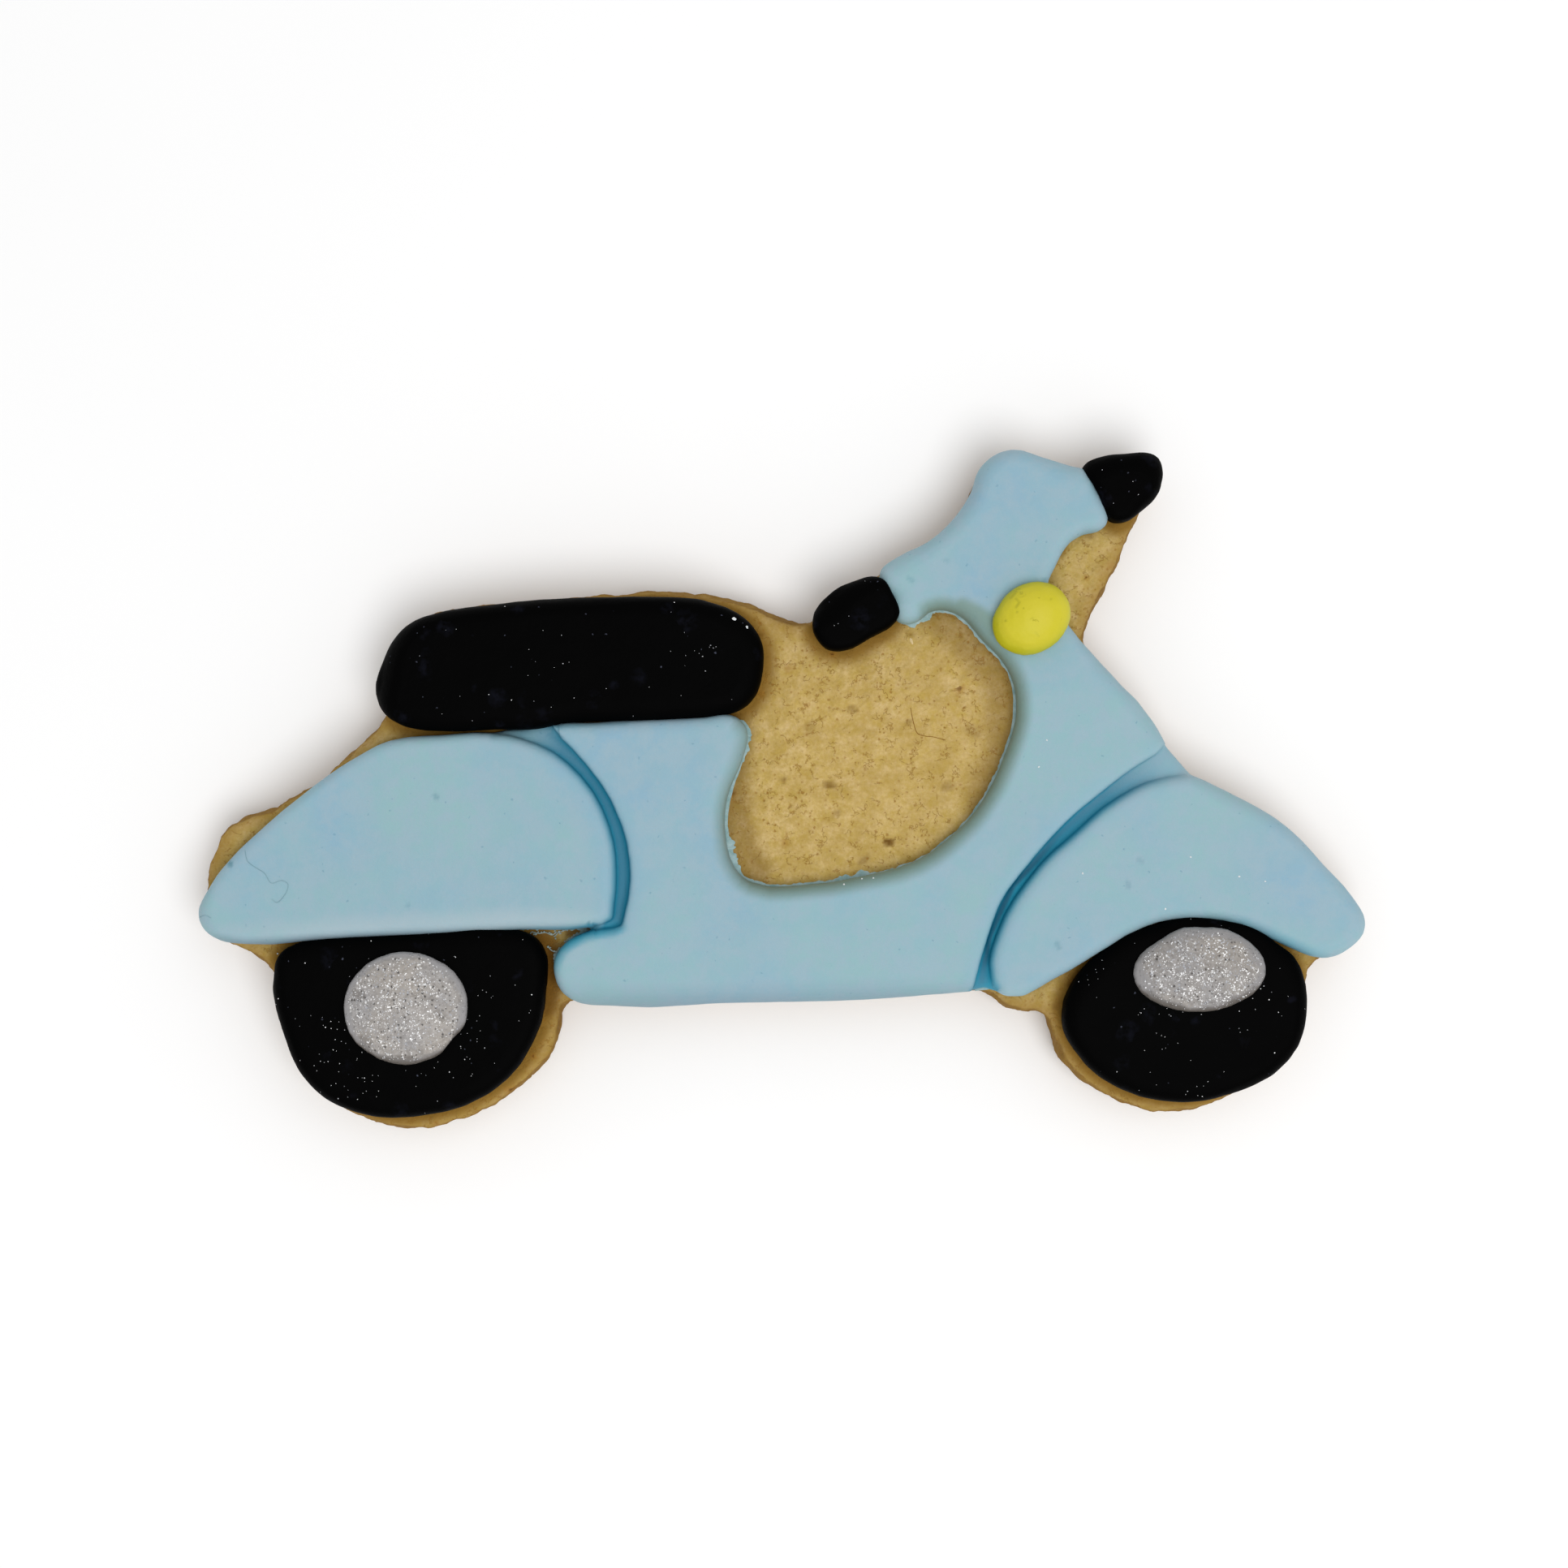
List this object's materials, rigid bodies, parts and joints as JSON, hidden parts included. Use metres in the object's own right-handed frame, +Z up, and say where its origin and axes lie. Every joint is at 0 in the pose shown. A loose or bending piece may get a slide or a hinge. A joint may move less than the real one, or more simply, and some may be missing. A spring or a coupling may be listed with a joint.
{
  "type": "iced sugar cookie",
  "caption": "Rolled biscuit cut as a motor scooter and covered with coloured fondant pieces, lying flat with its icing up.",
  "frame": {"origin": "on the table under the middle of the cookie, which lies flat on its baked underside", "axes": "+X along the scooter's length towards its front wheel, +Y in the plane of the cookie towards the handlebar, +Z up, out of the icing"},
  "size_m": [0.1154, 0.0677, 0.0128],
  "materials": {
    "biscuit": "baked dough, matt and lightly pitted, with brown specks",
    "blue_fondant": "pale blue sugar fondant, matt, deeper blue in its grooves",
    "black_fondant": "black sugar fondant, satin, with stray glitter",
    "silver_fondant": "grey fondant rolled in fine silver glitter",
    "yellow_fondant": "lemon yellow sugar fondant, satin"
  },
  "bodies": {
    "root": {"biscuit": "biscuit", "blue_icing": "blue_fondant", "seat": "black_fondant", "left_grip": "black_fondant", "right_grip": "black_fondant", "rear_tyre": "black_fondant", "front_tyre": "black_fondant", "rear_hub": "silver_fondant", "front_hub": "silver_fondant", "headlight": "yellow_fondant"}
  },
  "joints": []
}
